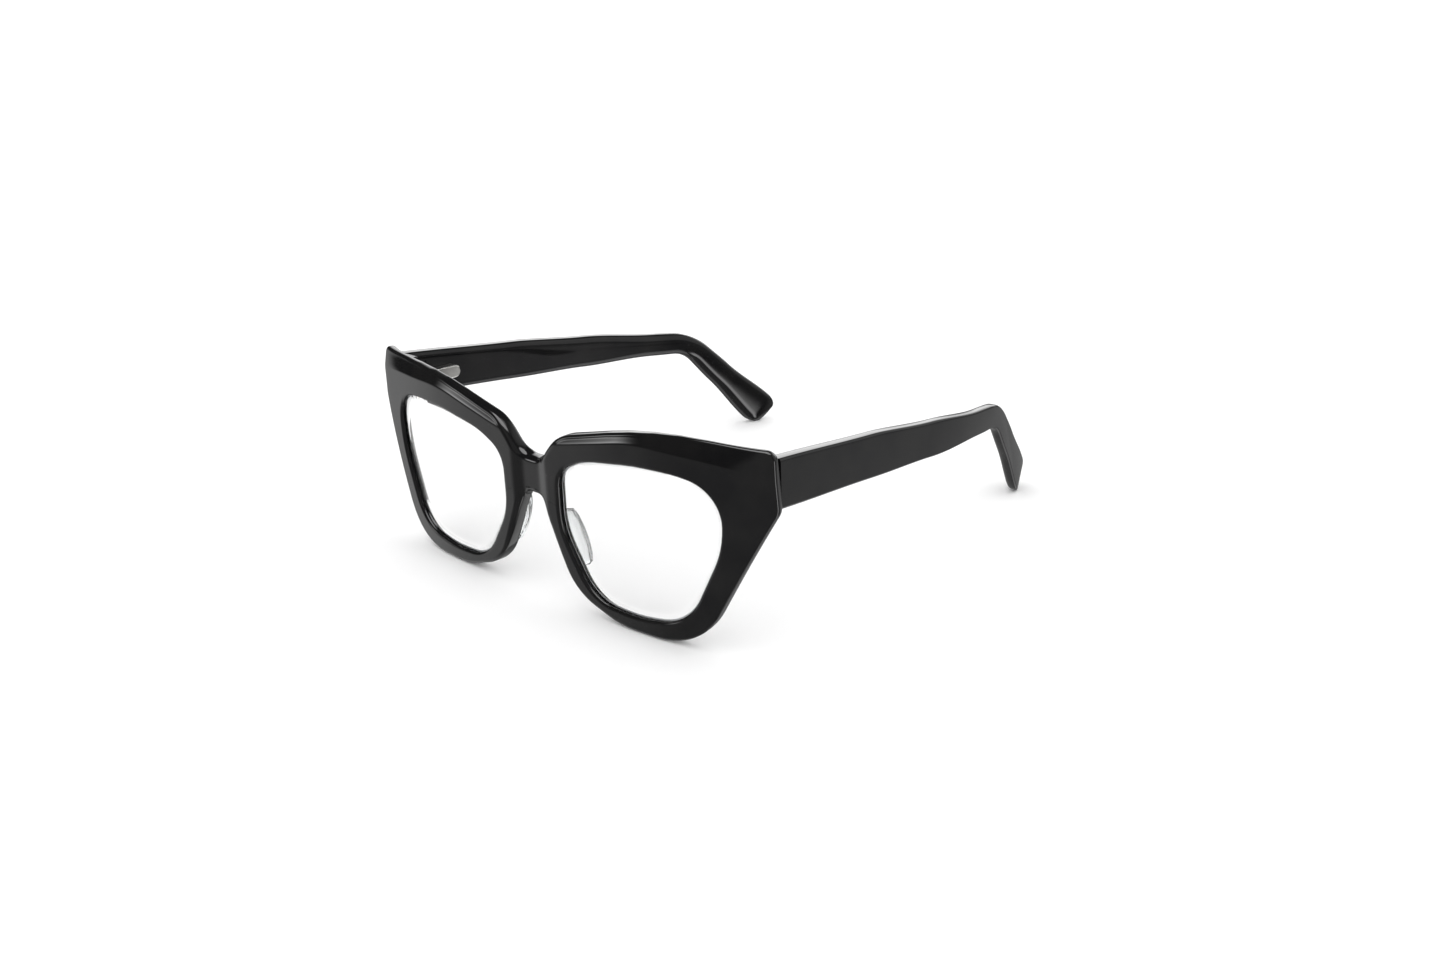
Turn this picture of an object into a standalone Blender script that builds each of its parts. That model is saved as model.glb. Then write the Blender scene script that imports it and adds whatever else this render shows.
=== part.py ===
"""Chunky acetate cat-eye eyeglasses with spring hinges, open and standing on a flat surface.

The front faces -Y, the temples run back along +Y and +X is the wearer's left, called the right
side here. They stand on the bottoms of the two rims and on the two temple tips, at z = 0. Sizes
below are millimetres and angles are degrees, until add_mesh writes a mesh in metres. The front
face's middle is y = 0 in the functions, and add_mesh moves it so that the object's box is centred.
Each side is made as the right one, and the left one is its mirror image.
"""
import math

import bmesh
import bpy
from mathutils import Matrix, Vector

MM = 0.001
LENGTH = 136.7          # whole depth, front face to the back of the temple tips

# Front: the face curves back towards the wings and dips a little at the bridge.
FRONT_DEPTH = 4.4
DEPTH_TAPER = 0.0165      # the front gets this much thinner for each millimetre outwards
WING_CURVE = 3.55e-7
FACE_SLOPE = 0.02
BRIDGE_RECESS = 0.8
BRIDGE_HALF = 6.5
EDGE_RADIUS = 0.9
EDGE_SHARE = 0.42           # largest edge radius, as a share of the thickness there
LIP_RADIUS = 0.8
FACET_SLOPE = math.tan(math.radians(26))
FACET_TWIST = 0.32          # how much flatter the bevel is at the tip of the wing
TWIST_START = 54.0
TWIST_LENGTH = 16.0
EYE_CENTRE = (34.0, 24.0)

# Corners of the half outline, (x, z, radius), from the top of the bridge round to its arch.
OUTLINE = [(0, 35.4, 0), (3.4, 35.4, 5.5), (10.1, 42.9, 14), (40, 50.1, 100), (69.8, 49.0, 2.4),
           (70.7, 35.5, 5), (53.4, 3.2, 18), (42.5, 0, 26), (28.5, 0, 28), (13.9, 4.8, 16),
           (8.3, 15.0, 45), (3.3, 26.2, 3.6), (0, 26.2, 0)]
OPENING = [(10.1, 34.4, 7), (19, 38.6, 25), (35, 40.8, 60), (46.5, 41.0, 36), (58.0, 39.0, 9.5),
           (58.0, 25.5, 24), (48.7, 5.7, 14), (34, 3.7, 40), (19.7, 4.5, 13), (10.0, 19.8, 16)]
BROW_EDGE = [(9.0, 40.6), (35, 46.4), (59, 45.6), (70.4, 43.2)]

# Groove round each opening: its walls as shares of the front's depth, then its depth into the rim.
GROOVE_FRONT = 0.29
GROOVE_BACK = 0.73
GROOVE_DEPTH = 1.1
GROOVE_TAPER = 0.08
LENS_THICKNESS = 1.0
LENS_SHARES = (0.35, 0.7)    # where the curved lens faces are divided
NO_BROW_SHARE = 0.8         # where the face is divided below the brow
BROW_LIMIT = 0.96           # how near the edge the brow line may come
LENS_BITE = 0.7
LENS_BEVEL = 0.25

# End piece behind each wing, in plan, and its height range.
BLOCK_PLAN = [(58.2, 6.6), (58.2, 9.4), (58.9, 13.1), (68.0, 13.1), (67.8, 12.0), (64.5, 8.7)]
BLOCK_LOW = 37.0
BLOCK_HIGH = 47.0
BLOCK_BACK = 13.1

# Hinge: axis, and positions along the temple (u), outwards (v) and upwards (w) from the axis.
HINGE = (62.7, 16.2, 39.5)
SPLAY = math.radians(3.8)
GAP = 0.3
KNUCKLE_RADIUS = 1.5
KNUCKLE_BORE = 0.75
MIDDLE_HALF = 1.1
OUTER_LOW = 1.35
OUTER_HIGH = 2.9
SCREW_RADIUS = 0.65
SCREW_HEAD_RADIUS = 1.3
SCREW_HEAD = (3.15, 3.8)
SCREW_SLOT = (0.34, 0.3)
LEAF_HALF_WIDTH = 3.4
LEAF_HALF_HEIGHT = 4.2
LEAF_THICKNESS = 1.0
ANCHOR_RADIUS = 0.8
ANCHOR_LENGTH = 2.2
ANCHOR_OFFSET = 2.5
KNUCKLE_FOOT = 1.1          # half width where an outer knuckle leaves the leaf
KNUCKLE_ROOT = 0.4          # how deep it is rooted in the leaf
KNUCKLE_ARC = (math.radians(-40), math.radians(220))
KNUCKLE_STEPS = 14
NECK_START = 0.9
NECK_HALF_WIDTH = 0.8
SCREW_TAPER = 0.7
HEAD_CHAMFER = 0.2
CUT = 6.0                   # how far a cutting shape reaches past what it cuts
CASE_ROUNDING = 0.4
CASE_START = 2.6
CASE_END = 11.4
CASE_HALF_HEIGHT = 1.75
CASE_HALF_WIDTH = 1.55
CASE_SUNK = 2.4
CASE_WALL = 1.3
CASE_BORE = 1.2
CASE_BORE_END = 10.4
STEM_RADIUS = 0.5
STEM_HOLE = 0.62
STEM_START = 2.0
STEM_END = 9.3
STEM_HEAD = (8.7, 0.8)
SPRING_TURNS = 5
SPRING_WIRE = 0.14
SPRING_RADIUS = 0.88
SPRING_SPAN = (4.15, 7.55)
STOP_SPAN = (7.8, 8.5)
STOP_RADIUS = 1.05
STOP_HOLE = 0.6

# Temple: side view of its middle line as (y, z, radius), then heights and thicknesses along it.
TEMPLE_START = 13.4
TEMPLE_OUTER = 68.3
TEMPLE_LINE = [(TEMPLE_START, 40.9, 0), (50, 36.8, 150), (110.0, 29.2, 15), (134.4, 2.08, 0)]
TEMPLE_CURVE_START = 70.0
TEMPLE_CURVE = 0.0026
TEMPLE_HEIGHTS = [(0, 11.6), (34, 10.6), (60, 9.0), (85, 6.6), (98, 6.1), (112, 7.1), (130, 9.8)]
TEMPLE_THICKNESS = [(0, 4.1), (60, 4.0), (98, 3.8), (130, 4.0)]
TEMPLE_STEPS = 30
TIP_ROUND = 4.0
TIP_NARROWING = (3.6, 1.0)   # how much lower and thinner on each side the rounded end becomes
CORE_HALF_HEIGHT = 0.9
CORE_HALF_WIDTH = 0.45
CORE_DEPTH = 1.7
CORE_LENGTH = 112.0

# Nose pads: (distance behind the front, half length, half width, shift outwards) of each section.
PAD_CENTRE = (10.2, 16.4)
PAD_LEAN = math.radians(24.8)
PAD_SECTIONS = [(GAP, 7.4, 2.3, 0), (1.1, 7.6, 2.4, 0.2), (2.2, 6.9, 2.1, 0.7), (3.0, 5.4, 1.4, 1.1)]
PAD_SIDES = 20

ARC_STEP = math.radians(24)
LINE_STEP = 4.6
ROUND_SIDES = 16


# ---------------------------------------------------------------- plane curves

def rounded(corners, closed):
    """Points of a polygon or open line whose corners (x, z, radius) are rounded by arcs."""
    points = []
    count = len(corners)
    for i, (x, z, radius) in enumerate(corners):
        at = Vector((x, z))
        if radius == 0:
            points.append(at)
            continue
        before = (Vector(corners[i - 1][:2]) - at).normalized()
        after = (Vector(corners[(i + 1) % count][:2]) - at).normalized()
        half = before.angle(after) / 2
        centre = at + (before + after).normalized() * (radius / math.sin(half))
        start = at + before * (radius / math.tan(half)) - centre
        turn = start.angle_signed(at + after * (radius / math.tan(half)) - centre)
        steps = max(1, math.ceil(abs(turn) / ARC_STEP))
        points += [centre + Matrix.Rotation(-turn * k / steps, 2) @ start for k in range(steps + 1)]
    if closed:
        points.append(points[0])
    return points


def divided(points):
    """The same line, with no stretch longer than LINE_STEP."""
    fine = [points[0]]
    for start, end in zip(points, points[1:]):
        steps = max(1, math.ceil((end - start).length / LINE_STEP))
        fine += [start.lerp(end, (k + 1) / steps) for k in range(steps)]
    return fine


def cast(line, toward):
    """Where the ray from the eye's centre towards a point crosses a line, or None."""
    centre = Vector(EYE_CENTRE)
    ray = (toward - centre).normalized()
    for start, end in zip(line, line[1:]):
        side = end - start
        turn = ray.cross(side)
        if abs(turn) < 1e-9:
            continue
        along = (start - centre).cross(side) / turn
        across = (start - centre).cross(ray) / turn
        if along > 0 and -1e-6 <= across <= 1 + 1e-6:
            return centre + ray * along
    return None


def outward(points, i):
    """Unit normal at point i of the half outline, away from the material."""
    before = points[max(i - 1, 0)]
    after = points[min(i + 1, len(points) - 1)]
    along = (after - before).normalized()
    normal = Vector((-along.y, along.x))
    if points[i].x == 0:
        normal.x = 0
    return normal.normalized()


def table(values, at):
    """Smooth value between the (position, value) pairs."""
    for (low, first), (high, second) in zip(values, values[1:]):
        if at <= high:
            part = max(0, (at - low) / (high - low))
            return first + (second - first) * part * part * (3 - 2 * part)
    return values[-1][1]


# ---------------------------------------------------------------- front surfaces

def face(x):
    """How far the front face lies behind the middle, at a distance x from the middle."""
    dip = BRIDGE_RECESS * (1 + math.cos(math.pi * min(abs(x) / BRIDGE_HALF, 1))) / 2
    return FACE_SLOPE * max(0, abs(x) - BRIDGE_HALF) + WING_CURVE * x ** 4 + dip


def front_depth(x):
    """How thick the front is, at a distance x from the middle."""
    return FRONT_DEPTH - DEPTH_TAPER * abs(x)


def behind_face(at, depth):
    """The place at a depth behind the face point (x, z), measured square to the face."""
    slope = FACE_SLOPE + 4 * WING_CURVE * abs(at.x) ** 3
    lean = math.atan(slope) * min(abs(at.x) / BRIDGE_HALF, 1)
    return at.x - depth * math.sin(lean), face(at.x) + depth * math.cos(lean), at.y


def facet_drop(at):
    """How far the brow's bevel falls behind the face at a point (x, z)."""
    crease = min(z0 + (z1 - z0) * (at.x - x0) / (x1 - x0)
                 for (x0, z0), (x1, z1) in zip(BROW_EDGE, BROW_EDGE[1:]))
    part = min(1, max(0, (at.x - TWIST_START) / TWIST_LENGTH))
    slope = FACET_SLOPE - FACET_TWIST * part * part * (3 - 2 * part)
    return slope * max(0, at.y - crease)


# ---------------------------------------------------------------- meshes

def material(name, colour, roughness, metallic, transmission=0.0):
    """A Principled material."""
    made = bpy.data.materials.new(name)
    made.use_nodes = True
    made.diffuse_color = (*colour, 1)
    shader = made.node_tree.nodes["Principled BSDF"]
    shader.inputs["Base Color"].default_value = (*colour, 1)
    shader.inputs["Roughness"].default_value = roughness
    shader.inputs["Metallic"].default_value = metallic
    shader.inputs["Transmission Weight"].default_value = transmission
    return made


def add_mesh(name, points, faces, finish, side=1, origin=(0, 0, 0), sharp=35):
    """One object from points in millimetres; side -1 mirrors it, origin is its turning point."""
    base = Vector((side * origin[0], origin[1] - LENGTH / 2, origin[2]))
    made = bmesh.new()
    corners = [made.verts.new((Vector((side * x, y - LENGTH / 2, z)) - base) * MM)
               for x, y, z in points]
    for ring in faces:
        made.faces.new([corners[i] for i in ring])
    bmesh.ops.recalc_face_normals(made, faces=made.faces)
    mesh = bpy.data.meshes.new(name)
    made.to_mesh(mesh)
    made.free()
    mesh.materials.append(finish)
    mesh.shade_smooth()
    mesh.set_sharp_from_angle(angle=math.radians(sharp))
    made = bpy.data.objects.new(name, mesh)
    made.location = base * MM
    bpy.context.scene.collection.objects.link(made)
    return made


def loft(rings):
    """Points and faces of a closed tube through rings of equal length, with flat ends."""
    size = len(rings[0])
    points = [point for ring in rings for point in ring]
    faces = []
    for j in range(len(rings) - 1):
        for i in range(size):
            after = (i + 1) % size
            faces.append([j * size + i, j * size + after, (j + 1) * size + after, (j + 1) * size + i])
    faces.append(list(range(size)))
    faces.append([(len(rings) - 1) * size + i for i in range(size)])
    return points, faces


def turned(profile, sides=ROUND_SIDES):
    """Points and faces of a solid ring turned about the axis, from a closed (radius, height) profile."""
    size = len(profile)
    points = []
    faces = []
    for k in range(sides):
        turn = 2 * math.pi * k / sides
        points += [(radius * math.cos(turn), radius * math.sin(turn), high) for radius, high in profile]
        following = (k + 1) % sides
        for i in range(size):
            after = (i + 1) % size
            faces.append([k * size + i, k * size + after, following * size + after, following * size + i])
    return points, faces


def solid_turned(profile, sides=ROUND_SIDES):
    """Points and faces of a solid turned about the axis, from rings (radius, height) upwards."""
    rings = []
    for radius, high in profile:
        turns = [2 * math.pi * k / sides for k in range(sides)]
        rings.append([(radius * math.cos(turn), radius * math.sin(turn), high) for turn in turns])
    return loft(rings)


def prism(outline, low, high):
    """Points and faces of an upright prism on a plan outline."""
    return loft([[(x, y, z) for x, y in outline] for z in (low, high)])


def box(low, high):
    """Points and faces of a box."""
    plan = [(low[0], low[1]), (high[0], low[1]), (high[0], high[1]), (low[0], high[1])]
    return prism(plan, low[2], high[2])


def hinge_frame(points):
    """Points given as (u, v, w) from the hinge axis, in the right side's own place."""
    back = Vector((-math.sin(SPLAY), math.cos(SPLAY), 0))
    out = Vector((math.cos(SPLAY), math.sin(SPLAY), 0))
    up = Vector((0, 0, 1))
    return [tuple(Vector(HINGE) + back * u + out * v + up * w) for u, v, w in points]


def upright(points):
    """Points about the z axis, moved to the hinge axis."""
    return [tuple(Vector(HINGE) + Vector(point)) for point in points]


def along_temple(points):
    """Points about the z axis, laid along the temple with z becoming u."""
    return hinge_frame([(high, across, -up) for up, across, high in points])


def boolean(target, tool, operation):
    """Joins a hidden tool object to a target, or cuts it away, and keeps it as a modifier."""
    tool.hide_render = True
    tool.display_type = 'WIRE'
    change = target.modifiers.new(tool.name, 'BOOLEAN')
    change.operation = operation
    change.solver = 'EXACT'
    change.object = tool


# ---------------------------------------------------------------- front

def rim_rings(toward, normal):
    """The points round one section of the rim, from the brow edge round the back to the face.

    toward is the point on the outline and normal points out of it. Where normal is None the
    section ends on the middle plane, and only its face and back belong to the surface.
    """
    opening = cast(rounded(OPENING, True), toward)
    ray = (toward - Vector(EYE_CENTRE)).normalized()
    depth = front_depth(toward.x)
    rings = []
    if normal is None:
        edge = toward
        rings += [(toward, 0)] + [None] * 4 + [(toward, depth)]
    else:
        thickness = depth - facet_drop(toward - normal * EDGE_RADIUS)
        radius = min(EDGE_RADIUS, thickness * EDGE_SHARE)
        edge = toward - normal * radius
        drop = facet_drop(edge)
        for turn in (0, 45, 90):
            part = radius * (1 - math.sin(math.radians(turn)))
            rings.append((toward - normal * part, drop + radius * (1 - math.cos(math.radians(turn)))))
        for turn in (90, 45, 0):
            part = radius * (1 - math.sin(math.radians(turn)))
            rings.append((toward - normal * part, depth - radius * (1 - math.cos(math.radians(turn)))))
    lip = 1 - math.sqrt(0.5)
    depth = front_depth(opening.x)
    for out, behind in ((LIP_RADIUS, depth), (0, depth - LIP_RADIUS), (0, GROOVE_BACK * depth),
                        (GROOVE_DEPTH, (GROOVE_BACK - GROOVE_TAPER) * depth),
                        (GROOVE_DEPTH, (GROOVE_FRONT + GROOVE_TAPER) * depth), (0, GROOVE_FRONT * depth),
                        (0, LIP_RADIUS), (LIP_RADIUS * lip, LIP_RADIUS * lip), (LIP_RADIUS, 0)):
        rings.append((opening + ray * out, behind))
    brow = cast([Vector(point) for point in BROW_EDGE], toward)
    inner = opening + ray * LIP_RADIUS
    if brow is None:
        brow = inner.lerp(edge, NO_BROW_SHARE)
    if (brow - inner).length > (edge - inner).length * BROW_LIMIT:
        brow = inner.lerp(edge, BROW_LIMIT)
    rings.append((brow, 0))
    return [ring and behind_face(*ring) for ring in rings]


def front_half():
    """Sections of the right half: those of the outline, then those on the middle plane."""
    outline = divided(rounded(OUTLINE, False))
    sections = [rim_rings(point, outward(outline, i)) for i, point in enumerate(outline)]
    low = outline[-1].y + EDGE_RADIUS
    high = outline[0].y - EDGE_RADIUS
    middle = [rim_rings(Vector((0, low + (high - low) * part)), None) for part in (1 / 3, 2 / 3)]
    return sections, middle


def front_frame(finish):
    """The acetate front: both rims and the bridge, with a groove round each opening."""
    sections, middle = front_half()
    points = []
    faces = []
    for side in (1, -1):
        index = []
        for section in sections + middle:
            ids = []
            for point in section:
                if point is None:
                    ids.append(None)
                    continue
                place = (side * point[0], point[1], point[2])
                if side == -1 and point[0] == 0:
                    ids.append(points.index(place))
                else:
                    ids.append(len(points))
                    points.append(place if point[0] else (0, point[1], point[2]))
            index.append(ids)
        for k, first in enumerate(index):
            second = index[(k + 1) % len(index)]
            for j in range(len(first)):
                after = (j + 1) % len(first)
                ring = [first[j], first[after], second[after], second[j]]
                if None not in ring:
                    faces.append(ring)
    front = add_mesh("front_frame", points, faces, finish)
    for side, word in ((1, "right"), (-1, "left")):
        block = add_mesh(word + "_block_tool", *prism(BLOCK_PLAN, BLOCK_LOW, BLOCK_HIGH), finish, side)
        boolean(front, block, 'UNION')
        low = (HINGE[0] - LEAF_HALF_WIDTH - GAP, BLOCK_BACK - LEAF_THICKNESS - GAP,
               HINGE[2] - LEAF_HALF_HEIGHT - GAP)
        high = (HINGE[0] + LEAF_HALF_WIDTH + GAP, BLOCK_BACK + 2, HINGE[2] + LEAF_HALF_HEIGHT + GAP)
        pocket = add_mesh(word + "_leaf_tool", *box(low, high), finish, side)
        boolean(front, pocket, 'DIFFERENCE')
        for number, offset in enumerate((-ANCHOR_OFFSET, ANCHOR_OFFSET)):
            hole = solid_turned([(ANCHOR_RADIUS + GAP, 0), (ANCHOR_RADIUS + GAP, ANCHOR_LENGTH + 3)], 12)
            places = [(x + HINGE[0], BLOCK_BACK - LEAF_THICKNESS + 2 - z, y + HINGE[2] + offset)
                      for x, y, z in hole[0]]
            tool = add_mesh(f"{word}_anchor_tool_{number}", places, hole[1], finish, side)
            boolean(front, tool, 'DIFFERENCE')
    return front


def lens(word, side, finish):
    """One lens, its bevelled edge standing in the rim's groove with play all round."""
    outline = divided(rounded(OPENING, True))[:-1]
    centre = Vector(EYE_CENTRE)
    half = LENS_THICKNESS / 2
    bevelled = half - LENS_BEVEL
    middle = (GROOVE_FRONT + GROOVE_BACK) / 2
    rings = []
    inner, outer = LENS_SHARES
    for share, out, behind in ((inner, 0, -half), (outer, 0, -half), (1, -GAP, -half),
                               (1, LENS_BITE, -bevelled), (1, LENS_BITE, bevelled),
                               (1, -GAP, half), (outer, 0, half), (inner, 0, half)):
        ring = []
        for point in outline:
            at = centre.lerp(point, share) + (point - centre).normalized() * out
            ring.append(behind_face(at, middle * front_depth(at.x) + behind))
        rings.append(ring)
    return add_mesh(word + "_lens", *loft(rings), finish, side)


def nose_pad(word, side, finish):
    """A clear pad behind the nose side of the rim, leaning outwards as it goes back."""
    along = Vector((-math.sin(PAD_LEAN), math.cos(PAD_LEAN)))
    across = Vector((math.cos(PAD_LEAN), math.sin(PAD_LEAN)))
    rings = []
    for behind, half_length, half_width, shift in PAD_SECTIONS:
        centre = Vector(PAD_CENTRE) + across * shift
        ring = []
        for k in range(PAD_SIDES):
            turn = 2 * math.pi * k / PAD_SIDES
            at = centre + along * half_length * math.cos(turn) + across * half_width * math.sin(turn)
            ring.append(behind_face(at, front_depth(at.x) + behind))
        rings.append(ring)
    return add_mesh(word + "_nose_pad", *loft(rings), finish, side)


# ---------------------------------------------------------------- hinge

def front_hinge(word, side, finish):
    """The leaf set in the end piece, with two anchors, and its upper and lower knuckles."""
    x, y, z = HINGE
    leaf = add_mesh(word + "_front_hinge",
                    *box((x - LEAF_HALF_WIDTH, BLOCK_BACK - LEAF_THICKNESS, z - LEAF_HALF_HEIGHT),
                         (x + LEAF_HALF_WIDTH, BLOCK_BACK, z + LEAF_HALF_HEIGHT)), finish, side)
    for number, (low, high) in enumerate(((OUTER_LOW, OUTER_HIGH), (-OUTER_HIGH, -OUTER_LOW))):
        root = BLOCK_BACK - KNUCKLE_ROOT
        plan = [(x - KNUCKLE_FOOT, root), (x + KNUCKLE_FOOT, root)]
        start, end = KNUCKLE_ARC
        turns = [start + (end - start) * k / KNUCKLE_STEPS for k in range(KNUCKLE_STEPS + 1)]
        plan += [(x + KNUCKLE_RADIUS * math.cos(a), y + KNUCKLE_RADIUS * math.sin(a)) for a in turns]
        knuckle = add_mesh(f"{word}_knuckle_tool_{number}", *prism(plan, z + low, z + high), finish, side)
        boolean(leaf, knuckle, 'UNION')
    for number, offset in enumerate((-ANCHOR_OFFSET, ANCHOR_OFFSET)):
        pin = solid_turned([(ANCHOR_RADIUS, 0), (ANCHOR_RADIUS, ANCHOR_LENGTH)], 12)
        top = BLOCK_BACK - LEAF_THICKNESS / 2
        places = [(px + x, top - pz, py + z + offset) for px, py, pz in pin[0]]
        boolean(leaf, add_mesh(f"{word}_pin_tool_{number}", places, pin[1], finish, side), 'UNION')
    bore = solid_turned([(KNUCKLE_BORE, -OUTER_HIGH - 1), (KNUCKLE_BORE, OUTER_HIGH + 1)])
    boolean(leaf, add_mesh(word + "_bore_tool", upright(bore[0]), bore[1], finish, side), 'DIFFERENCE')
    return leaf


def hinge_screw(word, side, finish):
    """The screw through the three knuckles, with a slotted head."""
    head_low, head_high = SCREW_HEAD
    shape = solid_turned([(SCREW_RADIUS * SCREW_TAPER, -OUTER_HIGH - 0.4),
                          (SCREW_RADIUS, -OUTER_HIGH - 0.1), (SCREW_RADIUS, head_low),
                          (SCREW_HEAD_RADIUS, head_low), (SCREW_HEAD_RADIUS, head_high - HEAD_CHAMFER),
                          (SCREW_HEAD_RADIUS - HEAD_CHAMFER, head_high)])
    screw = add_mesh(word + "_hinge_screw", upright(shape[0]), shape[1], finish, side)
    width, depth = SCREW_SLOT
    slot = box((-2, -width / 2, head_high - depth), (2, width / 2, head_high + 1))
    boolean(screw, add_mesh(word + "_slot_tool", upright(slot[0]), slot[1], finish, side), 'DIFFERENCE')
    return screw


def hinge_slider(word, side, finish):
    """The middle knuckle with its neck and the headed stem that runs into the case."""
    half = MIDDLE_HALF
    knuckle = solid_turned([(KNUCKLE_RADIUS, -half), (KNUCKLE_RADIUS, half)])
    slider = add_mesh(word + "_hinge_slider", upright(knuckle[0]), knuckle[1], finish, side, HINGE)
    neck = box((NECK_START, -NECK_HALF_WIDTH, -half), (CASE_START - GAP, NECK_HALF_WIDTH, half))
    boolean(slider, add_mesh(word + "_neck_tool", hinge_frame(neck[0]), neck[1], finish, side), 'UNION')
    head_start, head_radius = STEM_HEAD
    stem = solid_turned([(STEM_RADIUS, STEM_START), (STEM_RADIUS, head_start), (head_radius, head_start),
                         (head_radius, STEM_END)], 12)
    boolean(slider, add_mesh(word + "_stem_tool", along_temple(stem[0]), stem[1], finish, side), 'UNION')
    bore = solid_turned([(KNUCKLE_BORE, -half - 1), (KNUCKLE_BORE, half + 1)])
    boolean(slider, add_mesh(word + "_eye_tool", upright(bore[0]), bore[1], finish, side), 'DIFFERENCE')
    return slider


def case_outline(grow):
    """Side view of the spring case as (u, w), square in front and round at the back."""
    half = CASE_HALF_HEIGHT + grow
    centre = CASE_END - CASE_HALF_HEIGHT
    turns = [math.radians(-90 + 180 * k / 10) for k in range(11)]
    outline = [(CASE_START - grow, half), (CASE_START - grow, -half)]
    return outline + [(centre + half * math.cos(a), half * math.sin(a)) for a in turns]


def hinge_case(word, side, finish):
    """The spring case, sunk into the temple's inner face, bored for the stem and the spring."""
    rings = [[(u, v, w) for u, w in case_outline(grow)]
             for v, grow in ((-CASE_HALF_WIDTH, -CASE_ROUNDING), (-CASE_HALF_WIDTH + CASE_ROUNDING, 0),
                             (CASE_SUNK, 0))]
    points, faces = loft(rings)
    case = add_mesh(word + "_hinge_case", hinge_frame(points), faces, finish, side, HINGE)
    hole_start = CASE_START + CASE_WALL
    bore = solid_turned([(STEM_HOLE, CASE_START - 1), (STEM_HOLE, hole_start), (CASE_BORE, hole_start),
                         (CASE_BORE, CASE_BORE_END)], 12)
    boolean(case, add_mesh(word + "_case_tool", along_temple(bore[0]), bore[1], finish, side),
            'DIFFERENCE')
    return case


def hinge_spring(word, side, finish):
    """The coil round the stem, between the case's front wall and the stop."""
    start, end = SPRING_SPAN
    steps = 10
    rings = []
    for k in range(SPRING_TURNS * steps + 1):
        turn = 2 * math.pi * k / steps
        centre_u = start + (end - start) * k / (SPRING_TURNS * steps)
        ring = []
        for i in range(5):
            angle = 2 * math.pi * i / 5
            radius = SPRING_RADIUS + SPRING_WIRE * math.cos(angle)
            ring.append((centre_u + SPRING_WIRE * math.sin(angle), radius * math.cos(turn),
                         radius * math.sin(turn)))
        rings.append(hinge_frame(ring))
    return add_mesh(word + "_hinge_spring", *loft(rings), finish, side, HINGE, 80)


def spring_stop(word, side, finish):
    """The washer held by the stem's head, which the spring pushes on."""
    low, high = STOP_SPAN
    ring = turned([(STOP_HOLE, low), (STOP_RADIUS, low), (STOP_RADIUS, high), (STOP_HOLE, high)], 12)
    return add_mesh(word + "_spring_stop", along_temple(ring[0]), ring[1], finish, side, HINGE)


# ---------------------------------------------------------------- temple

def temple_outer(y):
    """The outer face's distance from the middle plane, at a depth y."""
    bend = max(0, y - TEMPLE_CURVE_START)
    return TEMPLE_OUTER - math.tan(SPLAY) * (y - TEMPLE_START) - TEMPLE_CURVE * bend * bend


def temple_stations():
    """Middle line of the temple: (distance, place, up) at each station, and its length."""
    line = divided(rounded(TEMPLE_LINE, False))
    travelled = [0]
    for start, end in zip(line, line[1:]):
        travelled.append(travelled[-1] + (end - start).length)
    length = travelled[-1]
    inner = [k * (length - TIP_ROUND) / TEMPLE_STEPS for k in range(TEMPLE_STEPS + 1)]
    stations = []
    for far in inner + [length - TIP_ROUND * 0.5, length - TIP_ROUND * 0.15, length]:
        k = next(i for i in range(1, len(travelled)) if far <= travelled[i] + 1e-6)
        part = (far - travelled[k - 1]) / (travelled[k] - travelled[k - 1])
        along = (line[k] - line[k - 1]).normalized()
        square = Vector((-along.y, along.x))
        up = Vector((0, 1)).lerp(square, min(1, far / 20)).normalized()
        stations.append((far, line[k - 1].lerp(line[k], part), up))
    return stations, length


def rounded_section(height, thickness, outer_radius, inner_radius):
    """A section as (up, in) points: the outer face at in = 0, the inner face at thickness."""
    section = []
    for sign_up, sign_in, radius in ((1, -1, outer_radius), (1, 1, inner_radius),
                                     (-1, 1, inner_radius), (-1, -1, outer_radius)):
        centre = (sign_up * (height / 2 - radius),
                  thickness / 2 + sign_in * (thickness / 2 - radius))
        start = {(1, -1): 180, (1, 1): 90, (-1, 1): 0, (-1, -1): 270}[(sign_up, sign_in)]
        for turn in (start, start - 45, start - 90):
            angle = math.radians(turn)
            section.append((centre[0] + radius * math.sin(angle), centre[1] + radius * math.cos(angle)))
    return section


def temple(word, side, finish):
    """The acetate temple, with a blind channel for its wire core and a seat for the hinge."""
    stations, length = temple_stations()
    rings = []
    for far, place, up in stations:
        height = table(TEMPLE_HEIGHTS, far)
        thick = table(TEMPLE_THICKNESS, far)
        left = max(0, TIP_ROUND - (length - far)) / TIP_ROUND
        height -= TIP_NARROWING[0] * left * left
        thick_cut = TIP_NARROWING[1] * left * left
        inner_radius = min(1.0 + far / 90, thick / 2 - 0.1)
        ring = []
        for high, deep in rounded_section(height, thick - 2 * thick_cut, 1.0, inner_radius - thick_cut):
            y = place.x + up.x * high
            z = place.y + up.y * high
            ring.append((temple_outer(y) - thick_cut - deep, y, z))
        rings.append(ring)
    arm = add_mesh(word + "_temple", *loft(rings), finish, side, HINGE)
    channel = loft(core_rings(GAP, 0))
    boolean(arm, add_mesh(word + "_channel_tool", *channel, finish, side), 'DIFFERENCE')
    seat_rings = [[(u, v, w) for u, w in case_outline(GAP)] for v in (-CUT, CASE_SUNK + GAP)]
    points, faces = loft(seat_rings)
    boolean(arm, add_mesh(word + "_seat_tool", hinge_frame(points), faces, finish, side), 'DIFFERENCE')
    room = box((-CUT, -CUT, -SCREW_HEAD[1] - GAP), (CASE_START, CASE_HALF_WIDTH + GAP, SCREW_HEAD[1] + GAP))
    boolean(arm, add_mesh(word + "_room_tool", hinge_frame(room[0]), room[1], finish, side), 'DIFFERENCE')
    return arm


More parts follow.
